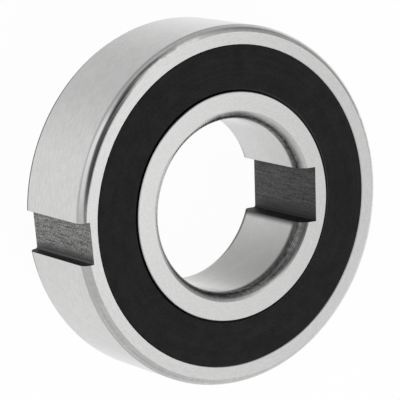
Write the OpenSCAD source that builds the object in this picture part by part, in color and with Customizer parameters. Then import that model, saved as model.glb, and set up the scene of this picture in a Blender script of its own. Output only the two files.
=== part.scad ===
/* [Rings] */
// Bore of the inner ring
bore_d = 25; // [22:0.5:30]
// Wall of the inner ring, from the bore to the land that the sprags run on
inner_wall = 4; // [3.8:0.1:6]
// Radial gap between the two lands, which the sprags bridge
land_gap = 4.2; // [3.8:0.1:4.6]
// Wall of the outer ring, from its land to the outside
outer_wall = 5.3; // [4.8:0.1:8]
// Width over the faces of both rings
width = 15; // [14:0.1:20]

/* [Ring corners] */
// Radial leg of the rounded corner round the outside
outer_corner_radial = 1; // [0.5:0.05:1.1]
// Axial leg of the rounded corner round the outside
outer_corner_axial = 1.2; // [0.6:0.05:1.4]
// Rounding radius of that corner, which meets face and outside at a faint edge
outer_corner_round = 1.4; // [1.2:0.05:2.5]
// Radial leg of the rounded corner at the bore
bore_corner_radial = 1.25; // [0.6:0.05:1.4]
// Axial leg of the rounded corner at the bore
bore_corner_axial = 1.7; // [0.8:0.05:1.9]
// Rounding radius of the corner at the bore
bore_corner_round = 1.9; // [1.4:0.05:3]
// Small bevel on the edges where the ring faces and the seals meet
edge_break = 0.1; // [0.05:0.05:0.3]

/* [Key slots] */
// Width of the slot across the outside of the outer ring
outer_slot_w = 6; // [4:0.5:8]
// Depth of that slot below the outside
outer_slot_depth = 1.7; // [1:0.1:2.2]
// Width of the slot across the bore of the inner ring
inner_slot_w = 8; // [5:0.5:9]
// Depth of that slot below the bore
inner_slot_depth = 2; // [1:0.1:2.4]
// Angle from the +X axis at which the inner slot rests
inner_slot_angle = -4.5; // [-90:0.5:90]
// Rounding at the foot of the walls of both slots
slot_foot_r = 0.3; // [0.1:0.05:0.5]

/* [Ball row] */
// Number of balls
ball_count = 14; // [10:1:15]
// Diameter of a ball
ball_d = 5.5; // [5.2:0.05:5.9]
// Clearance between a ball and the bottom of each groove
ball_play = 0.03; // [0.02:0.005:0.05]
// Radius of a groove's cross-section, as a multiple of the ball's radius
groove_factor = 1.04; // [1.03:0.005:1.08]
// Radial width of the ball cage
ball_cage_w = 2.6; // [1.8:0.1:2.8]
// Thickness of the ball cage behind the pockets
ball_cage_back = 0.55; // [0.4:0.05:0.8]
// Clearance between a ball and its pocket
pocket_clear = 0.08; // [0.05:0.01:0.12]
// Rise of the cage's claws past the ball centres
claw_rise = 1.3; // [0.8:0.1:1.7]
// Width of the relief between the claws of two pockets
relief_w = 1.1; // [0.8:0.1:1.3]
// Depth of that relief below the ball centres
relief_depth = 0.9; // [0.4:0.1:1.4]

/* [Sprag row] */
// Number of sprags
sprag_count = 16; // [12:1:18]
// Wedging angle between a sprag's line of force and the radius
strut_angle = 4; // [2.5:0.5:6]
// Radius of the inner and outer cams of a sprag
cam_r = 2.6; // [2.3:0.05:3]
// Clearance between a resting sprag and each land
sprag_play = 0.03; // [0.02:0.005:0.05]
// Half the width of a sprag over its heads
sprag_half_w = 1.65; // [1.5:0.05:1.8]
// Rounding at the four corners of a sprag
sprag_corner_r = 0.3; // [0.15:0.05:0.4]
// Half the width of a sprag at its waist
waist_half_w = 1; // [0.85:0.05:1.2]
// Radius of the hollows that form the waist
waist_r = 1.6; // [1.4:0.1:2]
// How far the hollow on the spring's side sits from the middle of the sprag
waist_shift = 0.2; // [0:0.05:0.3]
// Angle through which a sprag rocks when it lets go
rock_angle = 8; // [4:1:10]
// Play of a sprag between the ends of its window
sprag_end_play = 0.08; // [0.05:0.01:0.15]

/* [Sprag cages and spring] */
// Thickness of the sheet that the two cages are pressed from
sheet_t = 0.35; // [0.25:0.05:0.4]
// Gap from each cage to the land beside it
cage_gap = 0.75; // [0.6:0.05:0.8]
// Clearance between a cage's flange and the land beside it
flange_clear = 0.1; // [0.06:0.01:0.2]
// Width of the closed rim at each end of a cage
cage_rim = 0.45; // [0.3:0.05:0.7]
// Clearance at each side of a window, beyond what the rocking needs
window_clear = 0.06; // [0.04:0.01:0.12]
// Thickness of the ribbon spring
ribbon_t = 0.12; // [0.1:0.01:0.2]
// Radius of the curled leaf that presses on each sprag
leaf_r = 0.38; // [0.3:0.02:0.45]
// Width of that leaf along the axis
leaf_w = 2; // [1.2:0.1:2.4]
// Room between the ribbon's window and a sprag's waist, beyond the leaf
leaf_clear = 0.2; // [0.16:0.01:0.3]

/* [Seals] */
// Radial width of the outer ring's face, from the seal to the outside
face_w = 2.85; // [2.6:0.05:3.2]
// Depth of the seals below the faces
seal_recess = 0.05; // [0.05:0.05:0.4]
// Thickness of a seal
seal_t = 1.25; // [1:0.05:1.4]
// Visible gap between a seal and the inner ring
seal_gap = 0.35; // [0.15:0.05:0.5]
// Running clearance between the sealing lip and the inner ring
lip_clear = 0.04; // [0.02:0.01:0.08]
// Height of the sealing lip at its edge
lip_edge_h = 0.15; // [0.1:0.01:0.3]
// Height of the sealing lip at its root
lip_root_h = 0.55; // [0.4:0.05:0.7]
// Clearance between a seal and its seat
seat_clear = 0.02; // [0.01:0.01:0.04]
// Diameter of the bead that snaps into the outer ring
bead_d = 0.5; // [0.4:0.05:0.6]
// How far the bead stands out past the seal's rim
bead_reach = 0.35; // [0.2:0.05:0.4]
// Thickness of the steel insert inside a seal
insert_t = 0.35; // [0.25:0.05:0.4]
// Rubber left round the edges of the insert
insert_cover = 0.6; // [0.4:0.05:0.8]
// Lap of the rubber over the insert's inner side
insert_lap = 0.3; // [0.2:0.05:0.5]
// Axial clearance between the seals and the cages that turn beside them
end_gap = 0.25; // [0.15:0.05:0.4]
// Axial clearance between the ball row and the sprag row
row_gap = 0.4; // [0.3:0.05:0.6]

/* [Hidden] */
bore_r = bore_d / 2;
inner_land_r = bore_r + inner_wall;
outer_land_r = inner_land_r + land_gap;
outer_r = outer_land_r + outer_wall;
pitch_r = (inner_land_r + outer_land_r) / 2;
face_z = width / 2;
seat_r = outer_r - face_w;
seal_out_z = face_z - seal_recess;
seal_in_z = seal_out_z - seal_t;
ball_r = ball_d / 2;
groove_r = ball_r * groove_factor;
pocket_r = ball_r + pocket_clear;
ball_cage_z = -seal_in_z + end_gap;
ball_z = ball_cage_z + ball_cage_back + pocket_r;
sprag_cage_z = ball_z + ball_r + row_gap;
sprag_cage_end = seal_in_z - end_gap;
window_z = sprag_cage_z + cage_rim;
window_end = sprag_cage_end - cage_rim;
sprag_z = window_z + sprag_end_play;
sprag_l = window_end - sprag_end_play - sprag_z;
outer_cage_r = outer_land_r - cage_gap;
inner_cage_r = inner_land_r + cage_gap;
window_half = sprag_half_w + (outer_cage_r - pitch_r) * sin(rock_angle) + window_clear;
ribbon_half = waist_half_w + leaf_r + leaf_clear;
// Offset of a sprag's cam centres from its radius, which gives the wedging angle
inner_reach = inner_land_r / (inner_land_r + cam_r);
outer_reach = outer_land_r / (outer_land_r - cam_r);
cam_offset = tan(strut_angle) / ((inner_reach + outer_reach) / land_gap + inner_reach / inner_land_r);
// Cam centres, with X outward along the radius and Y along the turn, from a sprag's middle
inner_cam = [sqrt(pow(inner_land_r + cam_r + sprag_play, 2) - pow(cam_offset, 2)) - pitch_r, cam_offset];
outer_cam = [sqrt(pow(outer_land_r - cam_r - sprag_play, 2) - pow(cam_offset, 2)) - pitch_r, -cam_offset];
over = 1;
lap = 0.01;
ground_steel = [0.80, 0.80, 0.79];
bright_steel = [0.86, 0.87, 0.88];
sheet_steel = [0.62, 0.63, 0.65];
spring_steel = [0.45, 0.46, 0.50];
seal_black = [0.14, 0.14, 0.14];
cage_polymer = [0.86, 0.82, 0.70];
$fn = 120;
function numbered(name, i) = str(name, "_", i < 10 ? "0" : "", i);
BALLS = [for (i = [1:ball_count]) numbered("ball", i)];
SPRAGS = [for (i = [1:sprag_count]) numbered("sprag", i)];
RINGS = ["outer_ring", "inner_ring"];
SEALS = ["front_seal", "front_seal_insert", "rear_seal", "rear_seal_insert"];
CARRIERS = ["ball_cage", "sprag_cage_outer", "sprag_cage_inner", "sprag_spring"];

// What a rounded corner takes off a square edge that points along +X and +Y
module corner_cut(leg_x, leg_y, round_r) {
    chord = norm([leg_x, leg_y]);
    inward = sqrt(pow(round_r, 2) - pow(chord / 2, 2)) / chord;
    difference() {
        // The square starts a little inside the round, so that the round alone ends at the faces
        translate([-leg_x - lap, -leg_y - lap]) square([leg_x + lap + over, leg_y + lap + over]);
        translate([-leg_x / 2 - leg_y * inward, -leg_y / 2 - leg_x * inward]) circle(round_r);
    }
}

// What a small bevel takes off the same edge
module bevel_cut(leg) {
    polygon([[-leg, over], [-leg, 0], [0, -leg], [over, -leg], [over, over]]);
}

// Both ends of a profile get the same cut
module both_ends() {
    children();
    mirror([0, 1]) children();
}

// Cutter of a key slot through the width: its floor at X = 0, its walls along +X
module key_slot(slot_w, wall_h) {
    translate([0, 0, -width]) linear_extrude(2 * width) difference() {
        translate([0, -slot_w / 2]) square([wall_h + over, slot_w]);
        both_ends() translate([0, slot_w / 2]) difference() {
            translate([-over, -slot_foot_r]) square(slot_foot_r + over);
            translate([slot_foot_r, -slot_foot_r]) circle(slot_foot_r);
        }
    }
}

// Section of the ball groove, bottomed at a radius from the axis
module groove(bottom_r, side) {
    translate([bottom_r + side * groove_r, ball_z]) circle(groove_r);
}

// Round bead of a seal, or with some growth the groove that it snaps into
module bead(grow) {
    bead_r = bead_d / 2 + grow;
    translate([seat_r + bead_reach - bead_d / 2, seal_in_z + bead_d / 2]) circle(bead_r);
}

module outer_ring_section() {
    difference() {
        translate([outer_land_r, -face_z]) square([outer_wall, width]);
        both_ends() {
            translate([outer_r, face_z])
                corner_cut(outer_corner_radial, outer_corner_axial, outer_corner_round);
            translate([outer_land_r - over, seal_in_z])
                square([seat_r - outer_land_r + over, face_z]);
            translate([seat_r, face_z]) mirror([1, 0]) bevel_cut(edge_break);
            translate([outer_land_r, seal_in_z]) mirror([1, 0]) bevel_cut(edge_break);
            bead(seat_clear);
        }
        groove(pitch_r + ball_r + ball_play, -1);
    }
}

module outer_ring() {
    color(ground_steel) difference() {
        rotate_extrude() outer_ring_section();
        translate([outer_slot_depth - outer_r, 0]) mirror([1, 0, 0])
            key_slot(outer_slot_w, outer_slot_depth);
    }
}

module inner_ring_section() {
    difference() {
        translate([bore_r, -face_z]) square([inner_wall, width]);
        both_ends() {
            translate([bore_r, face_z]) mirror([1, 0])
                corner_cut(bore_corner_radial, bore_corner_axial, bore_corner_round);
            translate([inner_land_r, face_z]) bevel_cut(edge_break);
        }
        groove(pitch_r - ball_r - ball_play, 1);
    }
}

module inner_ring() {
    color(ground_steel) difference() {
        rotate_extrude() inner_ring_section();
        rotate([0, 0, inner_slot_angle])
            translate([bore_r + inner_slot_depth, 0]) mirror([1, 0, 0])
                key_slot(inner_slot_w, bore_r + inner_slot_depth);
    }
}

// Section of the steel insert: a flat washer with its outer edge bent inward
module insert_section() {
    inner_edge = inner_land_r + seal_gap + insert_cover;
    outer_edge = seat_r - insert_cover;
    floor_z = seal_in_z + insert_lap;
    translate([inner_edge, floor_z]) square([outer_edge - inner_edge, insert_t]);
    translate([outer_edge - insert_t, seal_in_z]) square([insert_t, insert_lap + insert_t]);
}

// The insert's inner side is bare between the rubber's two edges
module insert_window() {
    inner_edge = inner_land_r + seal_gap + insert_cover + insert_lap;
    outer_edge = seat_r - insert_cover - insert_t;
    translate([inner_edge, seal_in_z - over])
        square([outer_edge - inner_edge, insert_lap + over]);
}

// Rubber of a seal: a flat disc, a bead at its rim and a lip that thins towards the land
module seal_section() {
    rim_r = seat_r - seat_clear;
    lip_r = inner_land_r + lip_clear;
    lip_root_r = inner_land_r + seal_gap;
    difference() {
        union() {
            polygon([
                [lip_r, seal_in_z],
                [rim_r, seal_in_z],
                [rim_r, seal_out_z],
                [lip_root_r, seal_out_z],
                [lip_root_r, seal_in_z + lip_root_h],
                [lip_r, seal_in_z + lip_edge_h]
            ]);
            intersection() {
                bead(0);
                translate([lip_root_r, seal_in_z]) square([outer_r, seal_t]);
            }
        }
        translate([rim_r, seal_out_z]) bevel_cut(edge_break);
        translate([lip_root_r, seal_out_z]) mirror([1, 0]) bevel_cut(edge_break);
        insert_section();
        insert_window();
    }
}

module front_seal() {
    color(seal_black) rotate_extrude() seal_section();
}

module front_seal_insert() {
    color(sheet_steel) rotate_extrude() insert_section();
}

module rear_seal() {
    mirror([0, 0, 1]) front_seal();
}

module rear_seal_insert() {
    mirror([0, 0, 1]) front_seal_insert();
}

module ball(i) {
    color(bright_steel)
        rotate([0, 0, (i - 1) * 360 / ball_count])
            translate([pitch_r, 0, ball_z])
                sphere(ball_r);
}

// Snap-in crown cage: a ring with a spherical pocket for each ball, open to the front
module ball_cage() {
    claw_end = ball_z + claw_rise;
    color(cage_polymer) difference() {
        rotate_extrude()
            translate([pitch_r - ball_cage_w / 2, ball_cage_z])
                square([ball_cage_w, claw_end - ball_cage_z]);
        for (i = [0:ball_count - 1]) {
            rotate([0, 0, i * 360 / ball_count])
                translate([pitch_r, 0, ball_z])
                    sphere(pocket_r);
            rotate([0, 0, (i + 0.5) * 360 / ball_count])
                translate([pitch_r - ball_cage_w, 0, ball_z - relief_depth]) {
                    rotate([0, 90, 0]) cylinder(d = relief_w, h = 2 * ball_cage_w);
                    translate([0, -relief_w / 2, 0]) cube([2 * ball_cage_w, relief_w, ball_d]);
                }
        }
    }
}

// Centre of a corner rounding, tangent inside a cam and to the side of the sprag
function corner_centre(cam, end, side) =
    let (y = side * (sprag_half_w - sprag_corner_r))
    [cam[0] + end * sqrt(pow(cam_r - sprag_corner_r, 2) - pow(y - cam[1], 2)), y];

// What the rounding of a corner takes off the edge between a cam and the side
module corner_off(cam, corner) {
    sideways = [0, sign(corner[1]) * over];
    outward = (corner - cam) * over / norm(corner - cam);
    difference() {
        polygon([corner, corner + sideways, corner + sideways + outward, corner + outward]);
        translate(corner) circle(sprag_corner_r);
    }
}

// Outline of a sprag: two offset cams, rounded corners and a waist
module sprag_outline() {
    difference() {
        intersection() {
            translate(outer_cam) circle(cam_r);
            translate(inner_cam) circle(cam_r);
            square(2 * [cam_r, sprag_half_w], center = true);
        }
        for (side = [-1, 1]) {
            corner_off(outer_cam, corner_centre(outer_cam, 1, side));
            corner_off(inner_cam, corner_centre(inner_cam, -1, side));
        }
        translate([0, waist_half_w + waist_r]) circle(waist_r);
        translate([waist_shift, -waist_half_w - waist_r]) circle(waist_r);
    }
}

module sprag(i) {
    color(bright_steel)
        rotate([0, 0, (i - 1) * 360 / sprag_count])
            translate([pitch_r, 0, sprag_z])
                linear_extrude(sprag_l) sprag_outline();
}

// Windows through a sheet ring, one for each sprag
module windows(half_w, from_z, to_z) {
    for (i = [0:sprag_count - 1])
        rotate([0, 0, i * 360 / sprag_count])
            translate([inner_land_r, -half_w, from_z])
                cube([land_gap, 2 * half_w, to_z - from_z]);
}

// Outer cage, with a flange turned outward at its front end
module sprag_cage_outer() {
    color(sheet_steel) difference() {
        rotate_extrude() {
            translate([outer_cage_r - sheet_t, sprag_cage_z])
                square([sheet_t, sprag_cage_end - sprag_cage_z]);
            translate([outer_cage_r - sheet_t, sprag_cage_end - sheet_t])
                square([cage_gap + sheet_t - flange_clear, sheet_t]);
        }
        windows(window_half, window_z, window_end);
    }
}

// Inner cage, with a flange turned inward at its rear end
module sprag_cage_inner() {
    color(sheet_steel) difference() {
        rotate_extrude() {
            translate([inner_cage_r, sprag_cage_z])
                square([sheet_t, sprag_cage_end - sprag_cage_z]);
            translate([inner_land_r + flange_clear, sprag_cage_z])
                square([cage_gap + sheet_t - flange_clear, sheet_t]);
        }
        windows(window_half, window_z, window_end);
    }
}

// Curled leaf at the edge of a ribbon window, which turns its sprag into contact
module leaf() {
    intersection() {
        translate([leaf_r - ribbon_t / 2, -ribbon_half]) difference() {
            circle(leaf_r);
            circle(leaf_r - ribbon_t);
        }
        translate([-leaf_r, -ribbon_half - ribbon_t / 2]) square([3 * leaf_r, 2 * leaf_r]);
    }
}

module sprag_spring() {
    mid_z = (window_z + window_end) / 2;
    color(spring_steel) {
        difference() {
            rotate_extrude()
                translate([pitch_r - ribbon_t / 2, sprag_cage_z])
                    square([ribbon_t, sprag_cage_end - sprag_cage_z]);
            windows(ribbon_half, window_z, window_end);
        }
        for (i = [0:sprag_count - 1])
            rotate([0, 0, i * 360 / sprag_count])
                translate([pitch_r, 0, mid_z - leaf_w / 2])
                    linear_extrude(leaf_w) leaf();
    }
}

outer_ring();
inner_ring();
front_seal();
front_seal_insert();
rear_seal();
rear_seal_insert();
ball_cage();
sprag_cage_outer();
sprag_cage_inner();
sprag_spring();
for (i = [1:ball_count]) ball(i);
for (i = [1:sprag_count]) sprag(i);
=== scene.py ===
import math

import bmesh
import bpy
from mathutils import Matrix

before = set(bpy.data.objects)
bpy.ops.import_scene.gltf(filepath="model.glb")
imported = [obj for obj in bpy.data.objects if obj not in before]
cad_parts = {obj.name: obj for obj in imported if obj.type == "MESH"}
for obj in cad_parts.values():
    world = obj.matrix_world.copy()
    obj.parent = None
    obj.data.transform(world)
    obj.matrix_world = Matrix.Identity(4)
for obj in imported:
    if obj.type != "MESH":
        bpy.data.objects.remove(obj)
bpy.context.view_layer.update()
print("frame loaded:", len(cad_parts), "nodes")


class Wire:
    # a socket in a node tree; sums on it add Math nodes
    def __init__(self, tree, socket=None):
        self.tree = tree
        self.socket = socket

    # a new node: its settings are set first, then the values or links of its sockets
    def node(self, kind, settings=None, inputs=None, output=0):
        made = self.tree.nodes.new(kind)
        for name, value in (settings or {}).items():
            setattr(made, name, value)
        for name, value in (inputs or {}).items():
            if isinstance(value, Wire):
                self.tree.links.new(value.socket, made.inputs[name])
            else:
                made.inputs[name].default_value = value
        return Wire(self.tree, made.outputs[output]) if len(made.outputs) else None

    def maths(self, operation, first, second=0.0):
        return self.node("ShaderNodeMath", {"operation": operation}, {0: first, 1: second})

    def __add__(self, other):
        return self.maths("ADD", self, other)

    def __radd__(self, other):
        return self.maths("ADD", other, self)

    def __sub__(self, other):
        return self.maths("SUBTRACT", self, other)

    def __mul__(self, other):
        return self.maths("MULTIPLY", self, other)

    def __truediv__(self, other):
        return self.maths("DIVIDE", self, other)

    def __rtruediv__(self, other):
        return self.maths("DIVIDE", other, self)

    def __pow__(self, other):
        return self.maths("POWER", self, other)

    def __abs__(self):
        return self.maths("ABSOLUTE", self)

    def __lt__(self, other):
        return self.maths("LESS_THAN", self, other)

    def __gt__(self, other):
        return self.maths("GREATER_THAN", self, other)

    # 0 at start and 1 at full, eased between them; start may be the larger
    def eased(self, start, full):
        return self.node("ShaderNodeMapRange", {"interpolation_type": "SMOOTHSTEP"},
                         {"Value": self, "From Min": start, "From Max": full})

    # a vector with each of its parts multiplied
    def stretched(self, x, y, z):
        return self.node("ShaderNodeVectorMath", {"operation": "MULTIPLY"}, {0: self, 1: (x, y, z)})

    # a vector turned round Z, in degrees
    def turned(self, angle):
        return self.node("ShaderNodeMapping", {}, {"Vector": self, "Rotation": (0, 0, math.radians(angle))})

    def parts(self):
        return [self.node("ShaderNodeSeparateXYZ", {}, {0: self}, part) for part in range(3)]

    # cloudy pattern, about 0.2 to 0.8, with so many lumps in a millimetre
    def cloud(self, scale, detail=2.0, rough=0.5):
        return self.node("ShaderNodeTexNoise", {}, {
            "Vector": self, "Scale": scale, "Detail": detail, "Roughness": rough})

    # so much of a pattern's rise and fall about its middle
    def swing(self, amount, middle=0.5):
        return (self - middle) * amount

    # first colour where this is 0, second where it is 1; a Mix node's colours are its sockets 6, 7 and 2
    def colours(self, first, second):
        first, second = (c if isinstance(c, Wire) else (*c, 1) for c in (first, second))
        return self.node("ShaderNodeMix", {"data_type": "RGBA"}, {0: self, 6: first, 7: second}, 2)


def blend(first, second, share):
    return first + (second - first) * share


# several patterns as one, each by its share
def together(shares, *patterns):
    total = patterns[0] * shares[0]
    for pattern, share in zip(patterns[1:], shares[1:]):
        total = total + pattern * share
    return total


class Surface:
    # a new material, with places on the part in millimetres
    def __init__(self, name):
        self.made = bpy.data.materials.new(name)
        self.made.use_nodes = True
        self.made.node_tree.nodes.clear()
        metres = Wire(self.made.node_tree).node("ShaderNodeTexCoord", output="Object")
        self.place = metres.stretched(1000, 1000, 1000)
        self.x, self.y, self.z = self.place.parts()
        self.radius = (self.x * self.x + self.y * self.y) ** 0.5

    # follows the turn round the axis, so fine along it and so fine across it, with no seam
    def lay(self, along, across):
        share = along / self.radius
        depth = (self.radius + self.z) * across
        return self.place.node("ShaderNodeCombineXYZ", {}, {0: self.x * share, 1: self.y * share, 2: depth})

    # 1 on the side that lies at this angle round the axis, -1 opposite
    def facing(self, angle):
        side = math.radians(angle)
        return (self.x * math.cos(side) + self.y * math.sin(side)) / self.radius

    # height is in millimetres
    def close(self, colour, roughness, height, metallic=1.0, **fixed):
        bump = height.node("ShaderNodeBump", {}, {"Height": height, "Distance": 0.001})
        shader = height.node("ShaderNodeBsdfPrincipled", {}, {
            "Base Color": colour, "Roughness": roughness, "Metallic": metallic, "Normal": bump, **fixed})
        height.node("ShaderNodeOutputMaterial", {}, {"Surface": shader})
        return self.made


def wear(piece, material):
    for node in piece:
        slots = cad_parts[node].data.materials
        slots.clear()
        slots.append(material)


# nodes that are a name and a number
def numbered(name):
    return [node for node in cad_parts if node.startswith(name) and node[len(name):].isdigit()]


# Both rings: ground bearing steel, turned corners and a rough milled key slot
ground = {
    "lines": (6, 11),                   # grinding lines, along the turn and across it
    "scratches": (22, 3.6),
    "mottle": 0.45,
    "grit": 3.6,                        # on the flat faces alone
    "flatFrom": 7.4,
    "roundShares": (0.3, 0.7),          # of mottle and scratches
    "flatShares": (0.1, 0.5, 0.4),      # of mottle, scratches and grit
    "contrast": (0.35, 0.65),
    "mottleDepth": 0.002,
    "lineDepth": 0.0012,
    "mottleRoughness": 0.06,
    "lineRoughness": 0.12,
}
turning = {
    "bands": (1.4, 5),
    "blotches": 1.6,
    "shares": (0.6, 0.4),               # of bands and blotches
    "contrast": (0.4, 0.64),
}
milling = {
    "rows": (0.5, 3.6, 0.3),            # down into the slot, across it and through the width
    "streaks": (2.2, 4.6, 1.9),
    "specks": (5.5, 7, 5.5),
    "shares": (0.22, 0.2, 0.58),        # of rows, streaks and specks
    "contrast": (0.38, 0.64),
    "depth": 0.02,
    "roughness": 0.55,
    "uneven": 0.3,
    "lowShadeSpan": (-0.4, -0.95),          # shares of half the slot, towards its lower wall
    "slack": 0.004,                     # so that the walls count as slot
}


class Ring(Surface):
    # ground steel, whose finish is laid on in turn
    def __init__(self, name, look):
        super().__init__(name)
        self.look = look
        self.cut = self.place.turned(look["slotTurn"])
        self.along, self.across = self.cut.parts()[:2]
        self.lines = self.lay(*ground["lines"]).cloud(1, detail=3, rough=0.6)
        self.mottle = self.place.cloud(ground["mottle"], detail=4, rough=0.6)
        scratches = self.lay(*ground["scratches"]).cloud(1, detail=3, rough=0.75)
        grit = self.place.cloud(ground["grit"], detail=2, rough=0.7)
        flat = abs(self.z) > ground["flatFrom"]
        shine = blend(together(ground["roundShares"], self.mottle, scratches),
                      together(ground["flatShares"], self.mottle, scratches, grit), flat)
        self.colour = shine.eased(*ground["contrast"]).colours(look["steelDark"], look["steel"])
        uneven = self.mottle.swing(ground["mottleRoughness"])
        self.roughness = look["roughness"] + uneven + self.lines.swing(ground["lineRoughness"])

    # both lay something over the finish so far, where share is 1
    def paint(self, share, colour):
        self.colour = share.colours(self.colour, colour)

    def dull(self, share, roughness):
        self.roughness = blend(self.roughness, roughness, share)

    def turnCorner(self, corner):
        bands = self.lay(*turning["bands"]).cloud(1, detail=3, rough=0.7)
        blotches = self.place.cloud(turning["blotches"], detail=3, rough=0.7)
        pattern = together(turning["shares"], bands, blotches).eased(*turning["contrast"])
        self.paint(corner, pattern.colours(self.look["corner"], self.look["cornerPale"]))
        self.dull(corner, self.look["cornerRoughness"] + self.lines.swing(ground["lineRoughness"]))

    # comes last; cutter marks run through the width, with torn specks between them
    def millSlot(self, slot):
        look = self.look
        slot = slot * (abs(self.across) < look["slotHalf"] + milling["slack"])
        rows = self.cut.stretched(*milling["rows"]).cloud(1)
        streaks = self.cut.stretched(*milling["streaks"]).cloud(1, detail=4, rough=0.7)
        specks = self.cut.stretched(*milling["specks"]).cloud(1, detail=2, rough=0.7)
        torn = together(milling["shares"], rows, streaks, specks).eased(*milling["contrast"])
        # painted shade: darker towards the slot's lower wall, and darker still along its foot and up that
        # wall
        side = self.across / look["slotHalf"]
        rough = torn.colours(look["slotDark"], look["slotPale"])
        rough = side.eased(*milling["lowShadeSpan"]).colours(rough, look["slotLowShade"])
        wall = self.along.eased(*look["wallSpan"]).colours(look["slotFoot"], look["slotWall"])
        self.paint(slot, side.eased(*look["footSpan"]).colours(rough, wall))
        self.dull(slot, milling["roughness"] + specks.swing(milling["uneven"]))
        height = self.lines * ground["lineDepth"] + self.mottle * ground["mottleDepth"]
        return self.close(self.colour, self.roughness, blend(height, torn * milling["depth"], slot))


outerRing = {
    "steel": (0.85, 0.85, 0.845),
    "steelDark": (0.74, 0.74, 0.735),
    "roughness": 0.21,
    "corner": (0.71, 0.71, 0.705),
    "cornerPale": (0.90, 0.90, 0.895),
    "cornerRoughness": 0.12,
    "cornerRadius": 25.0,
    "cornerHeight": 6.3,
    "cornerEdgeShade": (0.60, 0.60, 0.595),        # painted shade: a fine dark line where the corner runs out into the outside
    "cornerEdgeShadeRadius": 25.85,
    "cornerEdgeShadeHeight": 6.6,
    "cornerEdgeShadeSpan": (0.22, 0.08),
    "slotTurn": 0.0,
    "slotHalf": 3.0,
    "slotFloor": -24.29,
    "slotDark": (0.09, 0.09, 0.09),
    "slotPale": (0.61, 0.61, 0.60),
    # painted shade in the slot: darker towards its lower wall, at its foot and up the wall
    "slotLowShade": (0.17, 0.17, 0.17),
    "slotFoot": (0.13, 0.13, 0.13),
    "slotWall": (0.05, 0.05, 0.05),
    "wallSpan": (-24.3, -25.3),
    "footSpan": (-0.96, -0.995),
    "reflectionsFrom": 6,
}
# painted reflections along part of the front corner, two dark bands and a painted highlight: the side they
# lie at, and the radii where they come and go
cornerReflections = [
    {"angle": 147, "spread": (0.93, 0.98), "comes": (24.72, 24.96), "goes": (25.3, 25.1),
     "colour": (0.09, 0.09, 0.09), "share": 0.62},
    {"angle": 138, "spread": (0.965, 0.99), "comes": (25.15, 25.35), "goes": (25.75, 25.55),
     "colour": (0.09, 0.09, 0.09), "share": 0.5},
    {"angle": 153, "spread": (0.95, 0.99), "comes": (25.52, 25.66), "goes": (25.98, 25.88),
     "colour": (0.98, 0.98, 0.98), "share": 0.9},
]


def outerRingSteel(look):
    ring = Ring("outerRingSteel", look)
    ring.turnCorner((ring.radius > look["cornerRadius"]) * (abs(ring.z) > look["cornerHeight"]))
    # painted reflections: dark bands and a painted highlight on the front corner
    for reflection in cornerReflections:
        share = ring.facing(reflection["angle"]).eased(*reflection["spread"]) * (ring.z > look["reflectionsFrom"])
        share = share * ring.radius.eased(*reflection["comes"]) * ring.radius.eased(*reflection["goes"])
        ring.paint(share * reflection["share"], reflection["colour"])
    # painted shade where the corner runs out into the outside, at both ends
    cornerEdgeShade = abs(abs(ring.z) - look["cornerEdgeShadeHeight"]).eased(*look["cornerEdgeShadeSpan"])
    ring.paint((ring.radius > look["cornerEdgeShadeRadius"]) * cornerEdgeShade, look["cornerEdgeShade"])
    return ring.millSlot(ring.along < look["slotFloor"])


wear(["outer_ring"], outerRingSteel(outerRing))

innerRing = {
    "steel": (0.84, 0.84, 0.835),
    "steelDark": (0.75, 0.75, 0.745),
    "roughness": 0.19,
    "boreRadius": 12.6,
    "corner": (0.11, 0.11, 0.108),      # turned and left dull, and darker still as a painted dark reflection
    "cornerPale": (0.46, 0.46, 0.456),
    "cornerRoughness": 0.3,
    "cornerSpan": (13.75, 13.0),
    "cornerWide": {"angle": 95, "spread": (0.85, 1), "by": 0.3},        # the painted dark reflection reaches further out here
    "cornerNarrow": {"angle": 30, "spread": (0.6, 1), "by": 0.25},      # and less far here
    "cornerRise": (5.5, 5.85),
    "cornerFade": (0.92, 0.55),         # towards the side with the painted highlight
    "slotTurn": 4.5,
    "slotHalf": 4.0,
    "slotFloor": 14.51,
    "slotDark": (0.06, 0.06, 0.06),
    "slotPale": (0.235, 0.235, 0.233),
    # painted shade in the slot: darker towards its lower wall, at its foot and up the wall
    "slotLowShade": (0.12, 0.12, 0.12),
    "slotFoot": (0.06, 0.06, 0.06),
    "slotWall": (0.065, 0.065, 0.065),
    "wallSpan": (14.5, 13.2),
    "footSpan": (-0.86, -0.97),
}
boreShade = {                                # painted shade on one side of the bore, and at the bore's front end
    "colour": (0.63, 0.63, 0.62),
    "angle": -55.0,
    "spread": (0.45, 0.95),
    "least": 0.2,
    "patchy": 1.6,                      # how much the painted shade follows the mottle
    "shade": 0.14,                      # share of dark at the bore's front end
    "shadeSpan": (-6, 6),
}
mouthAndSlotShade = {                                # painted shade: out of the slot onto the bore, and where the bore's mouth runs into the bore
    "shadeBesideSlot": 0.9,
    "shadeBesideSlotShare": 0.95,
    "mouthShade": 0.7,
    "mouthShadeAngle": -35,
    "mouthShadeSpread": (0.2, 0.8),
    "mouthShadeRadius": 13.3,
    "mouthShadeComes": (5.1, 5.7),
    "mouthShadeGoes": (6.9, 6.0),
}
nearHighlight = {                             # painted highlight: one side of the bore's mouth is painted pale, and its roughness is changed there
    "colour": (0.97, 0.97, 0.965),
    "angle": 155,
    "spread": (0.5, 0.85),
    "radius": 13.8,
    "height": 5.6,
    "roughness": 0.22,
    "mottle": 0.16,
    "dullSpread": (0.93, 0.985),
    "dull": 0.45,
}


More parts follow.
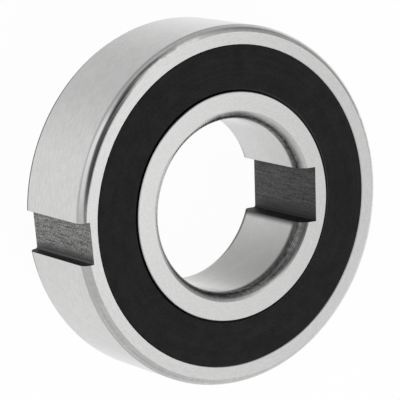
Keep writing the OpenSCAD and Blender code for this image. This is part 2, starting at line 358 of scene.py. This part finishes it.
def innerRingSteel(look):
    ring = Ring("innerRingSteel", look)
    dark = look["slotDark"]
    bore = ring.radius < look["boreRadius"]
    # painted shade on one side of the bore and towards its front end
    shadedSide = ring.facing(boreShade["angle"]).eased(*boreShade["spread"]) * bore
    ring.paint(shadedSide * (ring.mottle * boreShade["patchy"] + boreShade["least"]), boreShade["colour"])
    ring.paint(ring.z.eased(*boreShade["shadeSpan"]) * bore * boreShade["shade"], dark)
    edge = -look["slotHalf"]
    # painted shade on the bore beside the slot's lower edge
    shadeBesideSlot = ring.across.eased(edge - mouthAndSlotShade["shadeBesideSlot"], edge) * (ring.across < 0) * (ring.along > 0) * bore
    ring.paint(shadeBesideSlot * mouthAndSlotShade["shadeBesideSlotShare"], dark)

    # the dull turned corner carries a painted dark reflection, shaped round the ring
    wide, narrow = look["cornerWide"], look["cornerNarrow"]
    reach = ring.radius + ring.facing(narrow["angle"]).eased(*narrow["spread"]) * narrow["by"]
    reach = reach - ring.facing(wide["angle"]).eased(*wide["spread"]) * wide["by"]
    near = ring.facing(nearHighlight["angle"])
    corner = reach.eased(*look["cornerSpan"]) * ring.z.eased(*look["cornerRise"])
    ring.turnCorner(corner * near.eased(*look["cornerFade"]))

    # painted shade where the bore's mouth runs into the bore
    mouthShade = ring.facing(mouthAndSlotShade["mouthShadeAngle"]).eased(*mouthAndSlotShade["mouthShadeSpread"]) * (ring.radius < mouthAndSlotShade["mouthShadeRadius"])
    mouthShade = mouthShade * ring.z.eased(*mouthAndSlotShade["mouthShadeComes"]) * ring.z.eased(*mouthAndSlotShade["mouthShadeGoes"])
    ring.paint(mouthShade * mouthAndSlotShade["mouthShade"], dark)
    # painted highlight on one side of the bore's mouth, with rougher steel there
    highlighted = (ring.radius < nearHighlight["radius"]) * (ring.z > nearHighlight["height"])
    highlighted = highlighted * near.eased(*nearHighlight["spread"])
    ring.paint(highlighted, nearHighlight["colour"])
    rough = near.eased(*nearHighlight["dullSpread"]) * nearHighlight["dull"] + nearHighlight["roughness"]
    ring.dull(highlighted, rough + ring.mottle * nearHighlight["mottle"])
    return ring.millSlot((ring.along > 0) * (ring.along < look["slotFloor"]))


wear(["inner_ring"], innerRingSteel(innerRing))
print("rings finished")

# Seals: moulded black rubber, satin
rubber = {
    "black": (0.004, 0.004, 0.004),
    "worn": (0.015, 0.015, 0.015),
    "contrast": (0.36, 0.66),
    "grain": 4.5,
    "smear": 0.5,
    "rings": (1.5, 2.5),
    "shares": (0.35, 0.15, 0.5),        # of smear, rings and grain
    "grainDepth": 0.009,
    "ringDepth": 0.003,
    "lip": (0.06, 0.06, 0.06),          # painted light on the lip, lifting the shade in the gap beside the turning ring
    "lipRadius": 16.9,
    "lipAngle": 155,
    "lipSpread": (0.75, -0.1),
    "roughness": 0.5,
    "grainRoughness": 0.3,
    "smearRoughness": 0.12,
    "gloss": 0.2,
}


def sealRubber(look):
    seal = Surface("sealRubber")
    grain = seal.place.cloud(look["grain"], detail=2, rough=0.7)
    smear = seal.place.cloud(look["smear"], detail=4, rough=0.6)
    rings = seal.lay(*look["rings"]).cloud(1, detail=1)
    shade = together(look["shares"], smear, rings, grain).eased(*look["contrast"])
    # painted light on the lip, away from the side at lipAngle
    litLip = (seal.radius < look["lipRadius"]) * seal.facing(look["lipAngle"]).eased(*look["lipSpread"])
    colour = litLip.colours(shade.colours(look["black"], look["worn"]), look["lip"])
    roughness = look["roughness"] + grain.swing(look["grainRoughness"]) + smear.swing(look["smearRoughness"])
    height = grain * look["grainDepth"] + rings * look["ringDepth"]
    return seal.close(colour, roughness, height, metallic=0.0, **{"Specular IOR Level": look["gloss"]})


wear(["front_seal", "rear_seal"], sealRubber(rubber))
print("seals finished")

# Pressed sheet: seal inserts, sprag cages and the ribbon spring
sheets = {
    "insertSteel": {"pale": (0.52, 0.53, 0.55), "dark": (0.42, 0.43, 0.45), "roughness": 0.38, "grain": 5,
                    "nodes": ["front_seal_insert", "rear_seal_insert"]},
    "cageSteel": {"pale": (0.55, 0.55, 0.56), "dark": (0.44, 0.44, 0.46), "roughness": 0.32, "grain": 6,
                  "nodes": ["sprag_cage_outer", "sprag_cage_inner"]},
    "springSteel": {"pale": (0.36, 0.38, 0.44), "dark": (0.28, 0.27, 0.30), "roughness": 0.26, "grain": 9,
                    "nodes": ["sprag_spring"]},
}
rolling = {
    "across": 3,                        # fineness of the lines across the turn; the grain is along it
    "stain": 0.6,
    "shares": (0.4, 0.6),               # of rolled lines and stain
    "contrast": (0.32, 0.7),
    "lineRoughness": 0.16,
    "stainRoughness": 0.2,
    "depths": (0.004, 0.002),           # of both
}


def sheetSteel(name, look):
    sheet = Surface(name)
    lines = sheet.lay(look["grain"], rolling["across"]).cloud(1, detail=4, rough=0.65)
    stain = sheet.place.cloud(rolling["stain"], detail=4, rough=0.65)
    shade = together(rolling["shares"], lines, stain).eased(*rolling["contrast"])
    colour = shade.colours(look["dark"], look["pale"])
    uneven = lines.swing(rolling["lineRoughness"])
    roughness = look["roughness"] + uneven + stain.swing(rolling["stainRoughness"])
    return sheet.close(colour, roughness, together(rolling["depths"], lines, stain))


for name, look in sheets.items():
    wear(look["nodes"], sheetSteel(name, look))

# Ball cage: natural glass-filled nylon
nylon = {
    "pale": (0.72, 0.66, 0.50),
    "dark": (0.60, 0.53, 0.38),
    "roughness": 0.42,
    "fibreRoughness": 0.2,
    "flow": 0.7,
    "fibres": (30, 2.2),
    "shares": (0.6, 0.4),               # of flow and fibres
    "contrast": (0.32, 0.7),
    "depths": (0.005, 0.003),           # of fibres and flow
}


def cageNylon(look):
    cage = Surface("cageNylon")
    flow = cage.place.cloud(look["flow"], detail=3, rough=0.6)
    fibres = cage.lay(*look["fibres"]).cloud(1, detail=3, rough=0.7)
    shade = together(look["shares"], flow, fibres).eased(*look["contrast"])
    colour = shade.colours(look["dark"], look["pale"])
    roughness = look["roughness"] + fibres.swing(look["fibreRoughness"])
    return cage.close(colour, roughness, together(look["depths"], fibres, flow), metallic=0.0)


wear(["ball_cage"], cageNylon(nylon))

# Balls and sprags: hardened steel, the balls lapped, the sprags tumbled
hardened = {
    "ballSteel": {"pale": (0.78, 0.78, 0.79), "dark": (0.72, 0.72, 0.73), "roughness": 0.07,
                  "marks": 0.05, "depth": 0.0003, "nodes": "ball_"},
    "spragSteel": {"pale": (0.66, 0.66, 0.67), "dark": (0.54, 0.54, 0.56), "roughness": 0.2,
                   "marks": 0.2, "depth": 0.002, "nodes": "sprag_"},
}
polish = {
    "haze": 0.8,
    "pits": 6,
    "shares": (0.5, 0.5),               # of haze and pits
    "contrast": (0.32, 0.68),
    "middle": 0.4,                      # value of the pits that leaves the roughness as it is
}


def hardSteel(name, look):
    part = Surface(name)
    haze = part.place.cloud(polish["haze"], detail=3, rough=0.6)
    pits = part.place.cloud(polish["pits"], detail=3, rough=0.7)
    shade = together(polish["shares"], haze, pits).eased(*polish["contrast"])
    colour = shade.colours(look["dark"], look["pale"])
    roughness = look["roughness"] + pits.swing(look["marks"], polish["middle"])
    return part.close(colour, roughness, pits * look["depth"])


for name, look in hardened.items():
    wear(numbered(look["nodes"]), hardSteel(name, look))
print("inner pieces finished")

# Floor: plain and pale, it keeps a soft shadow
floorLook = {
    "height": -0.00751,
    "size": 3.0,
    "cells": 4,
    "colour": (0.85, 0.85, 0.85),
    "seenWhite": 0.97,                  # share of plain white for the camera
    "mirrored": 0.15,                   # share of the floor in what the steel mirrors, beside the studio
}
mesh = bmesh.new()
cells = floorLook["cells"]
bmesh.ops.create_grid(mesh, x_segments=cells, y_segments=cells, size=floorLook["size"])
bmesh.ops.translate(mesh, verts=mesh.verts, vec=(0, 0, floorLook["height"]))
floor = bpy.data.objects.new("floor", bpy.data.meshes.new("floor"))
mesh.to_mesh(floor.data)
mesh.free()
bpy.context.scene.collection.objects.link(floor)


def floorPaper(look):
    paper = bpy.data.materials.new("floorPaper")
    paper.use_nodes = True
    paper.node_tree.nodes.clear()
    tree = Wire(paper.node_tree)
    rays = ("Is Camera Ray", "Is Glossy Ray", "Is Transmission Ray")
    seen, mirrored, passed = (tree.node("ShaderNodeLightPath", output=ray) for ray in rays)
    white = tree.node("ShaderNodeEmission", {}, {"Strength": 1.0})
    matt = tree.node("ShaderNodeBsdfDiffuse", {}, {"Color": (*look["colour"], 1)})
    clear = tree.node("ShaderNodeBsdfTransparent")
    plain = (seen + mirrored + passed) * look["seenWhite"]
    top = tree.node("ShaderNodeMixShader", {}, {0: plain, 1: matt, 2: white})
    thin = mirrored * (1 - look["mirrored"])
    surface = tree.node("ShaderNodeMixShader", {}, {0: thin, 1: top, 2: clear})
    tree.node("ShaderNodeOutputMaterial", {}, {"Surface": surface})
    return paper


floor.data.materials.append(floorPaper(floorLook))

# Studio: pale all round, a bright panel at the right and the dark lens side above; angles in degrees
studio = {
    "grey": (0.8, 0.8, 0.8),
    "level": 1.1,
    "backdrop": (0.99, 0.99, 0.99),
    "patches": [
        {"towards": (0.41, -0.12, 0.91), "inner": 0, "outer": 15, "gain": 0.5},
        {"towards": (-0.31, 0.30, 0.90), "inner": 0, "outer": 34, "gain": -0.74},
        {"towards": (-0.13, 0.81, 0.57), "inner": 0, "outer": 28, "gain": -0.63},
        {"towards": (0.13, 0.95, -0.28), "inner": 0, "outer": 69, "gain": -0.62},
        {"towards": (-0.60, -0.78, 0.20), "inner": 21, "outer": 130, "gain": -0.44},
        {"towards": (0.88, 0.27, 0.40), "inner": 0, "outer": 47, "gain": -0.67},
        {"towards": (0.0, 0.0, -1.0), "inner": 12, "outer": 30, "gain": -0.95},
        {"towards": (0.50, -0.28, -0.82), "inner": 0, "outer": 24, "gain": 0.2},
        {"towards": (-0.42, -0.42, -0.80), "inner": 6, "outer": 46, "gain": 0.15},
    ],
}


def studioWorld(look):
    world = bpy.data.worlds.new("studio")
    world.use_nodes = True
    world.node_tree.nodes.clear()
    tree = Wire(world.node_tree)
    direction = tree.node("ShaderNodeTexCoord", output="Generated")
    level = look["level"]
    for patch in look["patches"]:
        length = math.hypot(*patch["towards"])
        axis = tuple(part / length for part in patch["towards"])
        facing = direction.node("ShaderNodeVectorMath", {"operation": "DOT_PRODUCT"},
                                {0: direction, 1: axis}, "Value")
        spread = [math.cos(math.radians(patch[edge])) for edge in ("outer", "inner")]
        level = level + facing.eased(*spread) * patch["gain"]
    around = tree.node("ShaderNodeBackground", {}, {"Color": (*look["grey"], 1), "Strength": level})
    behind = tree.node("ShaderNodeBackground", {}, {"Color": (*look["backdrop"], 1), "Strength": 1.0})
    seen = tree.node("ShaderNodeLightPath", output="Is Camera Ray")
    surface = tree.node("ShaderNodeMixShader", {}, {0: seen, 1: around, 2: behind})
    tree.node("ShaderNodeOutputWorld", {}, {"Surface": surface})
    return world


bpy.context.scene.world = studioWorld(studio)

# Lamps: one broad soft key from the lower right, a weak fill from the left
lamps = {
    "keyLamp": {"from": (0.25, -0.62, 0.55), "size": 0.5, "watts": 4.0},
    "fillLamp": {"from": (-0.6, 0.2, 0.5), "size": 0.6, "watts": 1.0},
}
for name, look in lamps.items():
    data = bpy.data.lights.new(name, "AREA")
    data.size = look["size"]
    data.energy = look["watts"]
    lamp = bpy.data.objects.new(name, data)
    lamp.location = look["from"]
    aim = -lamp.location
    lamp.rotation_euler = aim.to_track_quat("-Z", "Y").to_euler()
    lamp.visible_glossy = False
    bpy.context.scene.collection.objects.link(lamp)
print("floor, studio and lamps set")

# Camera: fitted to the edges in the photo, a long lens close to its angle
view = {
    "place": (-0.194452, 0.081699, 0.286587),
    "turn": (-9.65393, -35.11294, -6.36022),
    "lens": 221.242,
    "sensor": 36,
    "shift": (-0.00035, -0.00015),
    "clip": (0.01, 20),
}
data = bpy.data.cameras.new("camera")
data.lens = view["lens"]
data.sensor_width = view["sensor"]
data.shift_x, data.shift_y = view["shift"]
data.clip_start, data.clip_end = view["clip"]
camera = bpy.data.objects.new("camera", data)
camera.location = view["place"]
camera.rotation_euler = [math.radians(part) for part in view["turn"]]
bpy.context.scene.collection.objects.link(camera)
bpy.context.scene.camera = camera
bpy.context.scene.view_settings.view_transform = "Standard"

print("scene ready")
